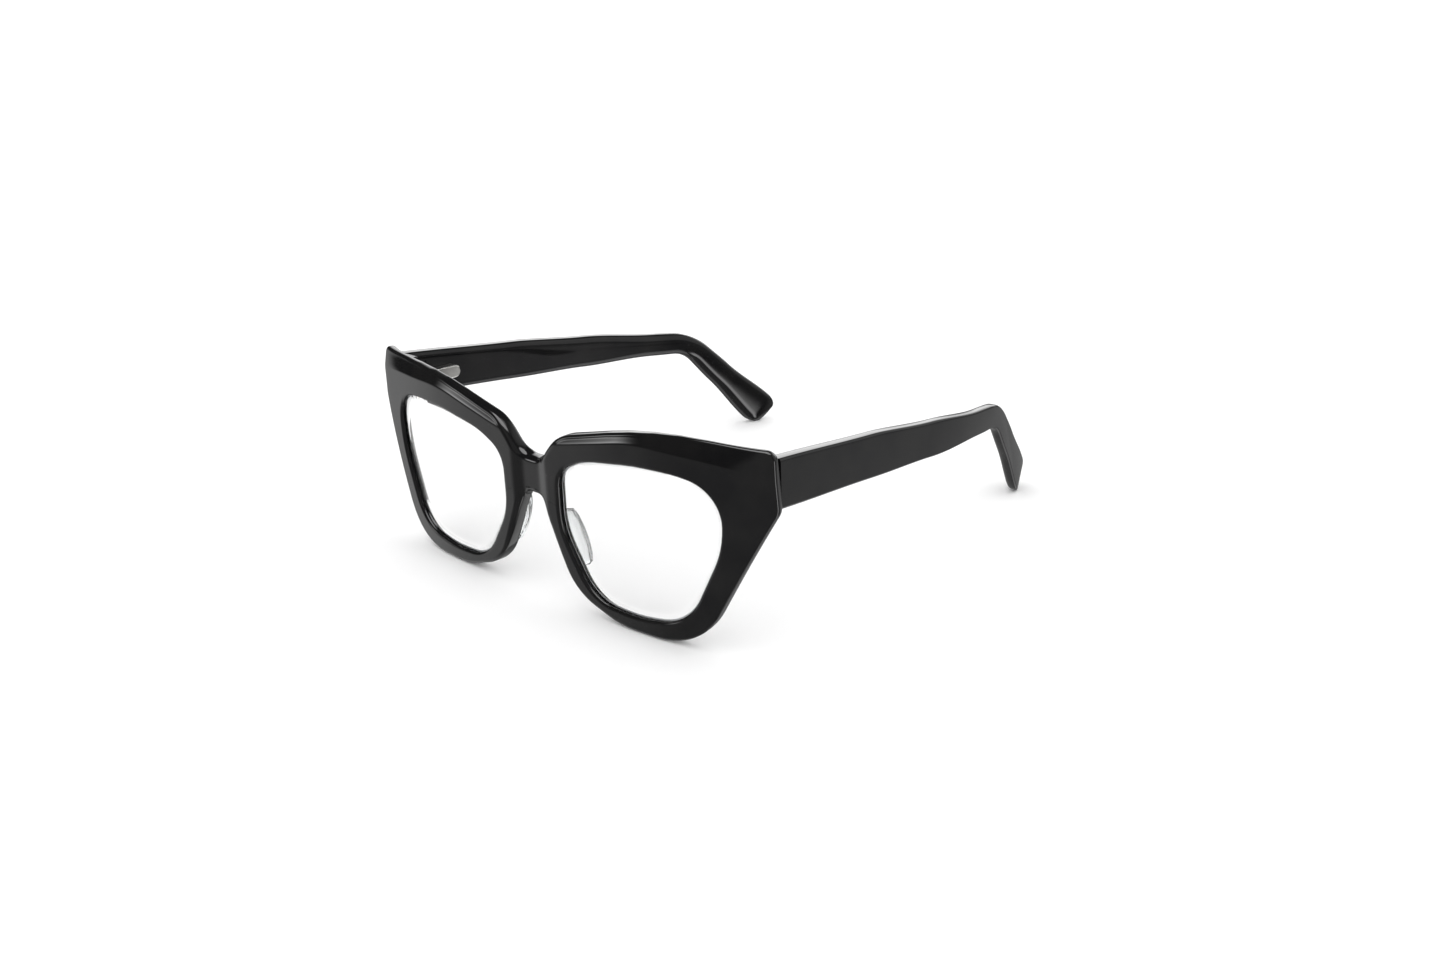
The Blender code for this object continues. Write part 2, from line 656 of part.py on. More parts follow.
def core_rings(grow, start):
    """Sections of the wire core, or of its channel when it grows by the gap all round."""
    stations, _ = temple_stations()
    rings = []
    for far, place, up in stations:
        if far < start or far > CORE_LENGTH + grow:
            continue
        ring = []
        for high, deep in ((1, -1), (1, 1), (-1, 1), (-1, -1)):
            y = place.x + up.x * high * (CORE_HALF_HEIGHT + grow)
            z = place.y + up.y * high * (CORE_HALF_HEIGHT + grow)
            ring.append((temple_outer(y) - CORE_DEPTH - deep * (CORE_HALF_WIDTH + grow), y, z))
        rings.append(ring)
    if start == 0:
        rings.insert(0, [(x, y - 3, z) for x, y, z in rings[0]])
    return rings


def temple_core(word, side, finish):
    """The wire core that stiffens the temple and lets its end be bent to fit."""
    return add_mesh(word + "_temple_core", *loft(core_rings(0, 1)), finish, side, HINGE)


def main():
    """Builds the eyeglasses in an empty scene."""
    for old in list(bpy.data.objects):
        bpy.data.objects.remove(old, do_unlink=True)
    acetate = material("black_acetate", (0.012, 0.012, 0.013), 0.08, 0)
    clear = material("clear_lens", (0.95, 0.97, 0.97), 0.02, 0, 1)
    pad_clear = material("clear_pad", (0.9, 0.92, 0.92), 0.1, 0, 0.9)
    steel = material("hinge_steel", (0.75, 0.75, 0.76), 0.2, 1)
    wire = material("wire_steel", (0.6, 0.6, 0.62), 0.3, 1)
    front_frame(acetate)
    for word, side in (("right", 1), ("left", -1)):
        lens(word, side, clear)
        nose_pad(word, side, pad_clear)
        front_hinge(word, side, steel)
        hinge_screw(word, side, wire)
        hinge_slider(word, side, steel)
        hinge_case(word, side, steel)
        hinge_spring(word, side, wire)
        spring_stop(word, side, wire)
        temple(word, side, acetate)
        temple_core(word, side, wire)


main()
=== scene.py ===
"""The finished look of the chunky black acetate eyeglasses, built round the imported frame.

Shapes are worked out in millimetres with the front face's middle at y = 0, as the frame's own
sizes are, and add_piece writes them in metres in the frame's place. The right side is made and
the left side is its mirror image.
"""
import math

import bmesh
import bpy
from mathutils import Matrix, Vector


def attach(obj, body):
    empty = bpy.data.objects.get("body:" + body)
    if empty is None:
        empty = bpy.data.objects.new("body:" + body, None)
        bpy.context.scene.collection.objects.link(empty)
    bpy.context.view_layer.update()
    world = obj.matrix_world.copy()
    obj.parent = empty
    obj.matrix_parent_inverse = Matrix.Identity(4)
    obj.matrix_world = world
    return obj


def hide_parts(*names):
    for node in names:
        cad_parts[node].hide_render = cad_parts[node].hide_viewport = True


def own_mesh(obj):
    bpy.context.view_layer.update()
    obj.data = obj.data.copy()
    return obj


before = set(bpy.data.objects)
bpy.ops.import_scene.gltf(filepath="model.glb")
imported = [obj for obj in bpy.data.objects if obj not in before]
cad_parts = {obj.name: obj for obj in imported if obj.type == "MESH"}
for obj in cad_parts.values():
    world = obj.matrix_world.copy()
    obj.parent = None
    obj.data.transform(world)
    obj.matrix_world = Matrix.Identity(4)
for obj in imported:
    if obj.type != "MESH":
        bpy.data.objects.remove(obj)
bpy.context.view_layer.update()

MM = 0.001
LENGTH = 136.7
SIDES = (("right", 1), ("left", -1))

# Front, as distances from the middle of its face.
FRONT_DEPTH = 4.4
DEPTH_TAPER = 0.0165        # the front gets this much thinner for each millimetre outwards
WING_CURVE = 3.55e-7
FACE_SLOPE = 0.02
BRIDGE_RECESS = 0.8
BRIDGE_HALF = 6.5
BRIDGE_PANEL = 2.6          # half width of the bridge's flat middle
EDGE_RADIUS = 0.9
EDGE_SHARE = 0.42           # largest edge radius, as a share of the thickness there
BRIDGE_SOFTENING = 0.6      # how much rounder the edges are at the bridge
LIP_RADIUS = 0.8
FACET_SLOPE = math.tan(math.radians(26))
FACET_TWIST = 0.32          # how much flatter the bevel is at the tip of the wing
TWIST_START = 54.0
TWIST_LENGTH = 16.0
FACET_SOFTNESS = 0.45
EYE_CENTRE = (34.0, 24.0)

# Corners of the half outline, (x, z, radius), from the top of the bridge round to its arch.
OUTLINE = [(0, 35.4, 0), (3.4, 35.4, 5.5), (10.1, 42.9, 14), (40, 50.1, 100), (69.8, 49.0, 2.4),
           (70.7, 35.5, 5), (53.4, 3.2, 18), (42.5, 0, 26), (28.5, 0, 28), (13.9, 4.8, 16),
           (8.3, 15.0, 45), (3.3, 26.2, 3.6), (0, 26.2, 0)]
OPENING = [(10.1, 34.4, 7), (19, 38.6, 25), (35, 40.8, 60), (46.5, 41.0, 36), (58.0, 39.0, 9.5),
           (58.0, 25.5, 24), (48.7, 5.7, 14), (34, 3.7, 40), (19.7, 4.5, 13), (10.0, 19.8, 16)]
BROW_EDGE = [(9.0, 40.6), (35, 46.4), (59, 45.6), (70.4, 43.2)]
CREASE_BLEND = 1.6
CREASE_REACH = (0.3, 0.9)   # how near the lens and the edge the crease may come, as shares
CREASE_WIDTH = 0.09         # widest softened strip on each side of the crease, as a share

# Groove round each opening: its walls as shares of the front's depth, then its depth into the rim.
GROOVE_FRONT = 0.29
GROOVE_BACK = 0.73
GROOVE_DEPTH = 1.1
LENS_THICKNESS = 1.0
LENS_BITE = 0.7
LENS_CORE = 0.02            # size of the flat patch in the middle of a lens, as a share
LENS_STEPS = 9

# End pieces and hinges: u runs along the temple, v outwards and w upwards from the hinge axis.
BLOCK_PLAN = [(58.2, 6.6), (58.2, 9.4), (58.9, 13.1), (68.0, 13.1), (67.8, 12.0), (64.5, 8.7)]
BLOCK_LOW = 37.0
BLOCK_HIGH = 47.0
BLOCK_BACK = 13.1
BLOCK_ROUNDING = 0.5
HINGE = (62.7, 16.2, 39.5)
SPLAY = math.radians(3.8)
GAP = 0.3
KNUCKLE_RADIUS = 1.5
KNUCKLE_BORE = 0.75
OUTER_LOW = 1.35
OUTER_HIGH = 2.9
SCREW_RADIUS = 0.65
SCREW_HEAD_RADIUS = 1.3
SCREW_HEAD = (3.15, 3.8)
LEAF_HALF_WIDTH = 3.4
LEAF_HALF_HEIGHT = 4.2
LEAF_THICKNESS = 1.0
LEAF_ROUNDING = 0.12
KNUCKLE_FOOT = 1.1          # half width where an outer knuckle leaves the leaf
KNUCKLE_ROOT = 0.4          # how deep it is rooted in the leaf
KNUCKLE_ARC = (-40, 220)
KNUCKLE_STEPS = 32
SCREW_TAPER = 0.7
SCREW_REACH = (0.4, 0.1)    # how far the tapered end and its start lie below the knuckles
HEAD_ROUNDING = 0.25
HEAD_TURNS = (0.5, 1.0, math.pi / 2)
SLOT_HALF_WIDTH = 0.17
SLOT_DEPTH = 0.3
CUT = 6.0                   # how far a cutting shape reaches past what it cuts
CASE_START = 2.6
CASE_END = 11.4
CASE_HALF_HEIGHT = 1.75
CASE_HALF_WIDTH = 1.55
CASE_SUNK = 2.4
CASE_ROUNDING = 0.45
CASE_SEAT_GAP = 0.08
CASE_WALL = 1.3
CASE_BORE = 1.2
CASE_BORE_END = 10.4
STEM_HOLE = 0.62
SPRING_TURNS = 5
SPRING_WIRE = 0.14
SPRING_RADIUS = 0.88
SPRING_SPAN = (4.15, 7.55)

# Temples: side view of the middle line as (y, z, radius), then heights and thicknesses along it.
TEMPLE_START = 13.4
TEMPLE_OUTER = 68.3
TEMPLE_LINE = [(TEMPLE_START, 40.9, 0), (50, 36.8, 150), (110.0, 29.2, 15), (134.4, 2.08, 0)]
TEMPLE_CURVE_START = 70.0
TEMPLE_CURVE = 0.0026
TEMPLE_HEIGHTS = [(0, 11.6), (34, 10.6), (60, 9.0), (85, 6.6), (98, 6.1), (112, 7.1), (130, 9.8)]
TEMPLE_THICKNESS = [(0, 4.1), (60, 4.0), (98, 3.8), (130, 4.0)]
TIP_ROUND = 4.0
TIP_NARROWING = 3.6         # how much lower the rounded end becomes
TIP_THINNING = 0.3          # how much thinner on each side, as a share of that
CROWN = 0.35
LEVEL_LENGTH = 20.0         # over which the sections turn from upright to square to the line
OUTER_ROUNDING = 0.8
INNER_ROUNDING = 1.0
ROUNDING_GROWTH = 90.0      # the temple's length over which its inner rounding grows by 1 mm
THIN_MARGIN = (0.05, 0.1)   # least flat left beside the outer and the inner rounding
LEAST_ROUNDING = 0.3

# Nose pads: half lengths, half widths and outward shifts, from the rim to the back.
PAD_CENTRE = (10.2, 16.4)
PAD_ALONG = (-0.42, 0.907)
PAD_DEPTH = 3.0
PAD_LENGTHS = [(0, 7.4), (0.4, 7.6), (0.75, 6.9), (1, 5.2)]
PAD_WIDTHS = [(0, 2.3), (0.4, 2.4), (0.75, 2.1), (1, 1.2)]
PAD_SHIFTS = [(0, 0), (0.5, 0.4), (1, 1.1)]
PAD_END = 0.93              # size of the pad's rounded back, as a share

# Fineness of the meshes.
ARC_STEP = math.radians(5)
LINE_STEP = 1.1
ROUND_STEPS = 6
FACE_STEPS = 12
CROWN_STEPS = 8
CREASE_STEPS = 60
BRIDGE_STEPS = 8
EDGE_STEPS = 4
PAD_STEPS = 14
PAD_SIDES = 56
CASE_STEPS = 28
SPRING_STEPS = 24
SPRING_SIDES = 8
TEMPLE_STEPS = 110
TIP_STEPS = 12


# ---------------------------------------------------------------- plane curves

def rounded(corners, closed):
    """Points of a polygon or open line whose corners (x, z, radius) are rounded by arcs."""
    points = []
    count = len(corners)
    for i, (x, z, radius) in enumerate(corners):
        at = Vector((x, z))
        if radius == 0:
            points.append(at)
            continue
        before = (Vector(corners[i - 1][:2]) - at).normalized()
        after = (Vector(corners[(i + 1) % count][:2]) - at).normalized()
        half = before.angle(after) / 2
        centre = at + (before + after).normalized() * (radius / math.sin(half))
        start = at + before * (radius / math.tan(half)) - centre
        turn = start.angle_signed(at + after * (radius / math.tan(half)) - centre)
        steps = max(1, math.ceil(abs(turn) / ARC_STEP))
        points += [centre + Matrix.Rotation(-turn * k / steps, 2) @ start for k in range(steps + 1)]
    if closed:
        points.append(points[0])
    return points


def divided(points):
    """The same line, with no stretch longer than LINE_STEP."""
    fine = [points[0]]
    for start, end in zip(points, points[1:]):
        steps = max(1, math.ceil((end - start).length / LINE_STEP))
        fine += [start.lerp(end, (k + 1) / steps) for k in range(steps)]
    return fine


def cast(line, toward):
    """Where the ray from the eye's centre towards a point crosses a line, or None."""
    centre = Vector(EYE_CENTRE)
    ray = (toward - centre).normalized()
    for start, end in zip(line, line[1:]):
        side = end - start
        turn = ray.cross(side)
        if abs(turn) < 1e-9:
            continue
        along = (start - centre).cross(side) / turn
        across = (start - centre).cross(ray) / turn
        if along > 0 and -1e-6 <= across <= 1 + 1e-6:
            return centre + ray * along
    return None


def outward(points, i):
    """Unit normal at point i of the half outline, away from the material."""
    before = points[max(i - 1, 0)]
    after = points[min(i + 1, len(points) - 1)]
    along = (after - before).normalized()
    normal = Vector((-along.y, along.x))
    if points[i].x == 0:
        normal.x = 0
    return normal.normalized()


def table(values, at):
    """Smooth value between the (position, value) pairs."""
    for (low, first), (high, second) in zip(values, values[1:]):
        if at <= high:
            part = max(0, (at - low) / (high - low))
            return first + (second - first) * part * part * (3 - 2 * part)
    return values[-1][1]


def eased(part):
    """A smooth step from 0 to 1."""
    part = min(1, max(0, part))
    return part * part * (3 - 2 * part)


def ramp(distance, softness):
    """A slope of 1 that begins at zero, with its corner rounded off."""
    if distance < -softness:
        return 0
    if distance > softness:
        return distance
    return (distance + softness) ** 2 / (4 * softness)


# ---------------------------------------------------------------- front surfaces

def face(x):
    """How far the front face lies behind the middle, at a distance x from the middle."""
    part = (BRIDGE_HALF - abs(x)) / (BRIDGE_HALF - BRIDGE_PANEL)
    dip = BRIDGE_RECESS * eased(part)
    return FACE_SLOPE * max(0, abs(x) - BRIDGE_HALF) + WING_CURVE * x ** 4 + dip


def front_depth(x):
    """How thick the front is, at a distance x from the middle."""
    return FRONT_DEPTH - DEPTH_TAPER * abs(x)


def behind_face(at, depth):
    """The place at a depth behind the face point (x, z), measured square to the face."""
    slope = FACE_SLOPE + 4 * WING_CURVE * abs(at.x) ** 3
    lean = math.atan(slope) * min(abs(at.x) / BRIDGE_HALF, 1)
    return at.x - depth * math.sin(lean), face(at.x) + depth * math.cos(lean), at.y


def crease(x):
    """Height of the brow's crease at a distance x from the middle: three lines run together."""
    heights = []
    for (x0, z0), (x1, z1) in zip(BROW_EDGE, BROW_EDGE[1:]):
        heights.append(z0 + (z1 - z0) * (x - x0) / (x1 - x0))
    height = heights[0]
    for other in heights[1:]:
        height -= ramp(height - other, CREASE_BLEND)
    return height


def facet_drop(at):
    """How far the brow's bevel falls behind the face at a point (x, z)."""
    slope = FACET_SLOPE - FACET_TWIST * eased((at.x - TWIST_START) / TWIST_LENGTH)
    return slope * ramp(at.y - crease(at.x), FACET_SOFTNESS)


# ---------------------------------------------------------------- meshes

def add_piece(name, points, faces, finish, side=1, sharp=40):
    """One object from points in millimetres; side -1 mirrors it."""
    made = bmesh.new()
    corners = [made.verts.new((side * x * MM, (y - LENGTH / 2) * MM, z * MM)) for x, y, z in points]
    for ring in faces:
        made.faces.new([corners[i] for i in ring])
    bmesh.ops.recalc_face_normals(made, faces=made.faces)
    mesh = bpy.data.meshes.new(name)
    made.to_mesh(mesh)
    made.free()
    mesh.materials.append(finish)
    mesh.shade_smooth()
    mesh.set_sharp_from_angle(angle=math.radians(sharp))
    piece = bpy.data.objects.new(name, mesh)
    bpy.context.scene.collection.objects.link(piece)
    return piece


def loft(rings):
    """Points and faces of a closed tube through rings of equal length, with flat ends."""
    size = len(rings[0])
    points = [point for ring in rings for point in ring]
    faces = []
    for j in range(len(rings) - 1):
        for i in range(size):
            after = (i + 1) % size
            faces.append([j * size + i, j * size + after, (j + 1) * size + after, (j + 1) * size + i])
    faces.append(list(range(size)))
    faces.append([(len(rings) - 1) * size + i for i in range(size)])
    return points, faces


def solid_turned(profile, sides=48):
    """Points and faces of a solid turned about the axis, from rings (radius, height) upwards."""
    turns = [2 * math.pi * k / sides for k in range(sides)]
    return loft([[(radius * math.cos(turn), radius * math.sin(turn), high) for turn in turns]
                 for radius, high in profile])


def prism(outline, low, high):
    """Points and faces of an upright prism on a plan outline."""
    return loft([[(x, y, z) for x, y in outline] for z in (low, high)])


def box(low, high):
    """Points and faces of a box."""
    plan = [(low[0], low[1]), (high[0], low[1]), (high[0], high[1]), (low[0], high[1])]
    return prism(plan, low[2], high[2])


def hinge_frame(points):
    """Points given as (u, v, w) from the hinge axis, in the right side's own place."""
    back = Vector((-math.sin(SPLAY), math.cos(SPLAY), 0))
    out = Vector((math.cos(SPLAY), math.sin(SPLAY), 0))
    up = Vector((0, 0, 1))
    return [tuple(Vector(HINGE) + back * u + out * v + up * w) for u, v, w in points]


def upright(points):
    """Points about the z axis, moved to the hinge axis."""
    return [tuple(Vector(HINGE) + Vector(point)) for point in points]


def apply_modifiers(piece):
    """Writes the modified shape into the piece's mesh."""
    bpy.context.view_layer.update()
    shape = piece.evaluated_get(bpy.context.evaluated_depsgraph_get())
    mesh = bpy.data.meshes.new_from_object(shape)
    piece.modifiers.clear()
    piece.data = mesh


def combine(target, shape, operation, finish, side, rounding=0.0):
    """Joins a shape to a piece, or cuts it away; the tool itself is removed."""
    tool = add_piece("tool", *shape, finish, side)
    if rounding:
        bevel = tool.modifiers.new("bevel", 'BEVEL')
        bevel.width = rounding * MM
        bevel.segments = 4
        bevel.limit_method = 'ANGLE'
        apply_modifiers(tool)
    change = target.modifiers.new("change", 'BOOLEAN')
    change.operation = operation
    change.solver = 'EXACT'
    change.object = tool
    apply_modifiers(target)
    bpy.data.objects.remove(tool, do_unlink=True)


def soften_edges(piece, width, segments=2, angle=40):
    """Rounds a piece's sharp edges."""
    bevel = piece.modifiers.new("bevel", 'BEVEL')
    bevel.width = width * MM
    bevel.segments = segments
    bevel.limit_method = 'ANGLE'
    bevel.angle_limit = math.radians(angle)
    bevel.harden_normals = True
    apply_modifiers(piece)


# ---------------------------------------------------------------- materials

def shader_of(made):
    """The Principled shader of a material."""
    return made.node_tree.nodes["Principled BSDF"]


def new_material(name, **values):
    """A Principled material with values set on its sockets."""
    made = bpy.data.materials.new(name)
    made.use_nodes = True
    for socket, value in values.items():
        shader_of(made).inputs[socket.replace("_", " ")].default_value = value
    return made


def noise(made, scale, detail, roughness=0.5):
    """A noise texture on object coordinates."""
    nodes = made.node_tree.nodes
    place = nodes.new('ShaderNodeTexCoord')
    texture = nodes.new('ShaderNodeTexNoise')
    texture.inputs["Scale"].default_value = scale
    texture.inputs["Detail"].default_value = detail
    texture.inputs["Roughness"].default_value = roughness
    made.node_tree.links.new(place.outputs["Object"], texture.inputs["Vector"])
    return texture


def vary(made, texture, socket, low, high, start=0.3, end=0.7):
    """Drives a number on the shader from a texture, between two values."""
    spread = made.node_tree.nodes.new('ShaderNodeMapRange')
    spread.inputs["From Min"].default_value = start
    spread.inputs["From Max"].default_value = end
    spread.inputs["To Min"].default_value = low
    spread.inputs["To Max"].default_value = high
    made.node_tree.links.new(texture.outputs["Fac"], spread.inputs["Value"])
    made.node_tree.links.new(spread.outputs["Result"], shader_of(made).inputs[socket])


def vary_colour(made, texture, low, high, start=0.35, end=0.65):
    """Mixes two base colours by a texture."""
    ramp_node = made.node_tree.nodes.new('ShaderNodeValToRGB')
    first, second = ramp_node.color_ramp.elements
    first.position = start
    first.color = (*low, 1)
    second.position = end
    second.color = (*high, 1)
    made.node_tree.links.new(texture.outputs["Fac"], ramp_node.inputs["Fac"])
    made.node_tree.links.new(ramp_node.outputs["Color"], shader_of(made).inputs["Base Color"])


def roughen(made, texture, strength, height):
    """Bumps the surface by a texture."""
    bump = made.node_tree.nodes.new('ShaderNodeBump')
    bump.inputs["Strength"].default_value = strength
    bump.inputs["Distance"].default_value = height * MM
    made.node_tree.links.new(texture.outputs["Fac"], bump.inputs["Height"])
    made.node_tree.links.new(bump.outputs["Normal"], shader_of(made).inputs["Normal"])


def black_acetate():
    """Polished black acetate: deep gloss, faint cloudiness and a slightly wavy hand polish."""
    made = new_material("black_acetate", IOR=1.48, Roughness=0.07)
    vary_colour(made, noise(made, 90, 3), (0.0045, 0.0045, 0.005), (0.0085, 0.0083, 0.0083))
    vary(made, noise(made, 240, 4), "Roughness", 0.05, 0.10)
    roughen(made, noise(made, 130, 2), 0.25, 0.02)
    return made


def clear_lens():
    """A clear, coated lens, with the faintest haze left by wiping."""
    made = new_material("clear_lens", Base_Color=(1, 1, 1, 1), Transmission_Weight=1.0, IOR=1.5,
                        Specular_IOR_Level=0.15)
    vary(made, noise(made, 60, 2), "Roughness", 0.0, 0.01)
    return made


def ground_glass():
    """The lens's ground edge, which gathers light and shows as a pale line."""
    made = new_material("ground_glass", IOR=1.5, Roughness=0.5)
    vary_colour(made, noise(made, 500, 3), (0.62, 0.63, 0.64), (0.8, 0.81, 0.82))
    return made


def clear_pad():
    """Clear polished acetate, a touch hazy."""
    made = new_material("clear_pad", Base_Color=(0.88, 0.9, 0.9, 1), Transmission_Weight=1.0, IOR=1.47)
    vary(made, noise(made, 160, 3), "Roughness", 0.02, 0.12)
    return made


def polished_metal(name, colour, low, high):
    """Nickel silver or steel with fine drawn scratches."""
    made = new_material(name, Base_Color=(*colour, 1), Metallic=1.0)
    vary(made, noise(made, 900, 5, 0.6), "Roughness", low, high)
    roughen(made, noise(made, 1500, 3), 0.15, 0.01)
    return made


# ---------------------------------------------------------------- front

def rim_rings(toward, normal, opening_line, brow_line):
    """The points round one section of the rim, from its outline round the back to the face.

    Without a normal the section lies in the middle plane and has no rounded edge.
    """
    opening = cast(opening_line, toward)
    ray = (toward - Vector(EYE_CENTRE)).normalized()
    depth = front_depth(toward.x)
    rings = []
    quarter = [math.radians(90 * k / ROUND_STEPS) for k in range(ROUND_STEPS + 1)]
    if normal is None:
        edge = toward
        rings += [(toward, 0)] + [None] * (2 * ROUND_STEPS) + [(toward, depth)]
    else:
        drop = facet_drop(toward - normal * EDGE_RADIUS)
        soft = EDGE_RADIUS + BRIDGE_SOFTENING * eased(2 - abs(toward.x) / BRIDGE_HALF)
        radius = min(soft, (depth - drop) * EDGE_SHARE)
        edge = toward - normal * radius
        drop = facet_drop(edge)
        for turn in quarter:
            part = radius * (1 - math.sin(turn))
            rings.append((toward - normal * part, drop + radius * (1 - math.cos(turn))))
        for turn in reversed(quarter):
            part = radius * (1 - math.sin(turn))
            rings.append((toward - normal * part, depth - radius * (1 - math.cos(turn))))
    inner = opening + ray * LIP_RADIUS
    rim_depth = front_depth(opening.x)
    for k in range(1, FACE_STEPS):
        part = k / FACE_STEPS
        rings.append((edge.lerp(inner, part), depth + (rim_depth - depth) * part))
    for turn in quarter:
        rings.append((opening + ray * LIP_RADIUS * (1 - math.sin(turn)),
                      rim_depth - LIP_RADIUS * (1 - math.cos(turn))))
    rings += [(opening, GROOVE_BACK * rim_depth),
              (opening + ray * GROOVE_DEPTH, GROOVE_BACK * rim_depth - GAP),
              (opening + ray * GROOVE_DEPTH, GROOVE_FRONT * rim_depth + GAP),
              (opening, GROOVE_FRONT * rim_depth)]
    for turn in reversed(quarter):
        rings.append((opening + ray * LIP_RADIUS * (1 - math.sin(turn)),
                      LIP_RADIUS * (1 - math.cos(turn))))
    brow = cast(brow_line, toward)
    width = (edge - inner).length
    least, most = CREASE_REACH
    reach = (brow - inner).length / width if brow else most
    reach = min(max(reach, least), most)
    near = min(FACET_SOFTNESS / width, CREASE_WIDTH)
    parts = [reach * k / FACE_STEPS for k in range(1, FACE_STEPS)]
    parts += [reach - near, reach - near / 2, reach, reach + near / 2, reach + near]
    parts += [reach + near + (1 - reach - near) * k / EDGE_STEPS for k in range(1, EDGE_STEPS)]
    for part in sorted(parts):
        point = inner.lerp(edge, part)
        rings.append((point, facet_drop(point) if normal is not None or point.x > 0 else 0))
    return [ring and behind_face(*ring) for ring in rings]


def front_piece(finish):
    """The whole acetate front with its end pieces and the pockets for the hinge leaves."""
    outline = divided(rounded(OUTLINE, False))
    opening_line = rounded(OPENING, True)
    span = BROW_EDGE[-1][0] - BROW_EDGE[0][0]
    brow_line = [Vector((x, crease(x))) for x in
                 [BROW_EDGE[0][0] + span * k / CREASE_STEPS for k in range(CREASE_STEPS + 1)]]
    sections = [rim_rings(point, outward(outline, i), opening_line, brow_line)
                for i, point in enumerate(outline)]
    low = outline[-1].y + EDGE_RADIUS
    high = outline[0].y - EDGE_RADIUS
    for k in range(1, BRIDGE_STEPS):
        at = Vector((0, low + (high - low) * k / BRIDGE_STEPS))
        sections.append(rim_rings(at, None, opening_line, brow_line))
    points = []
    faces = []
    for side in (1, -1):
        index = []
        for section in sections:
            ids = []
            for point in section:
                if point is None:
                    ids.append(None)
                    continue
                ids.append(len(points))
                points.append((side * point[0], point[1], point[2]))
            index.append(ids)
        for k, first in enumerate(index):
            second = index[(k + 1) % len(index)]
            for j in range(len(first)):
                after = (j + 1) % len(first)
                ring = [first[j], first[after], second[after], second[j]]
                if None not in ring:
                    faces.append(ring)
    front = add_piece("acetate_front", points, faces, finish)
    merged = bmesh.new()
    merged.from_mesh(front.data)
    bmesh.ops.remove_doubles(merged, verts=merged.verts, dist=0.00001)
    bmesh.ops.recalc_face_normals(merged, faces=merged.faces)
    merged.to_mesh(front.data)
    merged.free()
    for side in (1, -1):
        combine(front, prism(BLOCK_PLAN, BLOCK_LOW, BLOCK_HIGH), 'UNION', finish, side,
                BLOCK_ROUNDING)
        low = (HINGE[0] - LEAF_HALF_WIDTH - GAP, BLOCK_BACK - LEAF_THICKNESS - GAP,
               HINGE[2] - LEAF_HALF_HEIGHT - GAP)
        high = (HINGE[0] + LEAF_HALF_WIDTH + GAP, BLOCK_BACK + 2, HINGE[2] + LEAF_HALF_HEIGHT + GAP)
        combine(front, box(low, high), 'DIFFERENCE', finish, side)
    front.data.shade_smooth()
    front.data.set_sharp_from_angle(angle=math.radians(32))
    return front


def lens_piece(word, side, finish, ground):
    """One lens, its ground and bevelled edge standing in the rim's groove."""
    outline = divided(rounded(OPENING, True))[:-1]
    centre = Vector(EYE_CENTRE)
    half = LENS_THICKNESS / 2
    middle = (GROOVE_FRONT + GROOVE_BACK) / 2
    shares = [LENS_CORE + (1 - LENS_CORE) * k / LENS_STEPS for k in range(LENS_STEPS)]
    stations = [(share, 0, -half) for share in shares]
    stations += [(1, -GAP, -half), (1, LENS_BITE, 0), (1, -GAP, half)]
    stations += [(share, 0, half) for share in reversed(shares)]
    rings = []
    for share, out, behind in stations:
        ring = []
        for point in outline:
            at = centre.lerp(point, share) + (point - centre).normalized() * out
            ring.append(behind_face(at, middle * front_depth(at.x) + behind))
        rings.append(ring)
    lens = add_piece(word + "_clear_lens", *loft(rings), finish, side, 30)
    lens.data.materials.append(ground)
    size = len(outline)
    for polygon in lens.data.polygons:
        rows = [corner // size for corner in polygon.vertices]
        if len(rows) == 4 and min(rows) == LENS_STEPS and max(rows) == LENS_STEPS + 1:
            polygon.material_index = 1
    return lens


def pad_piece(word, side, finish):
    """A clear pad behind the nose side of the rim, leaning outwards as it goes back."""
    along = Vector(PAD_ALONG)
    across = Vector((along.y, -along.x))
    rings = []
    for j in range(PAD_STEPS + 1):
        part = j / PAD_STEPS
        size = 1 if j < PAD_STEPS else PAD_END
        centre = Vector(PAD_CENTRE) + across * table(PAD_SHIFTS, part)
        ring = []
        for k in range(PAD_SIDES):
            turn = 2 * math.pi * k / PAD_SIDES
            at = centre + along * table(PAD_LENGTHS, part) * size * math.cos(turn)
            at += across * table(PAD_WIDTHS, part) * size * math.sin(turn)
            ring.append(behind_face(at, front_depth(at.x) + GAP / 3 + (PAD_DEPTH - GAP) * part))
        rings.append(ring)
    return add_piece(word + "_clear_pad", *loft(rings), finish, side, 50)


# ---------------------------------------------------------------- hinges

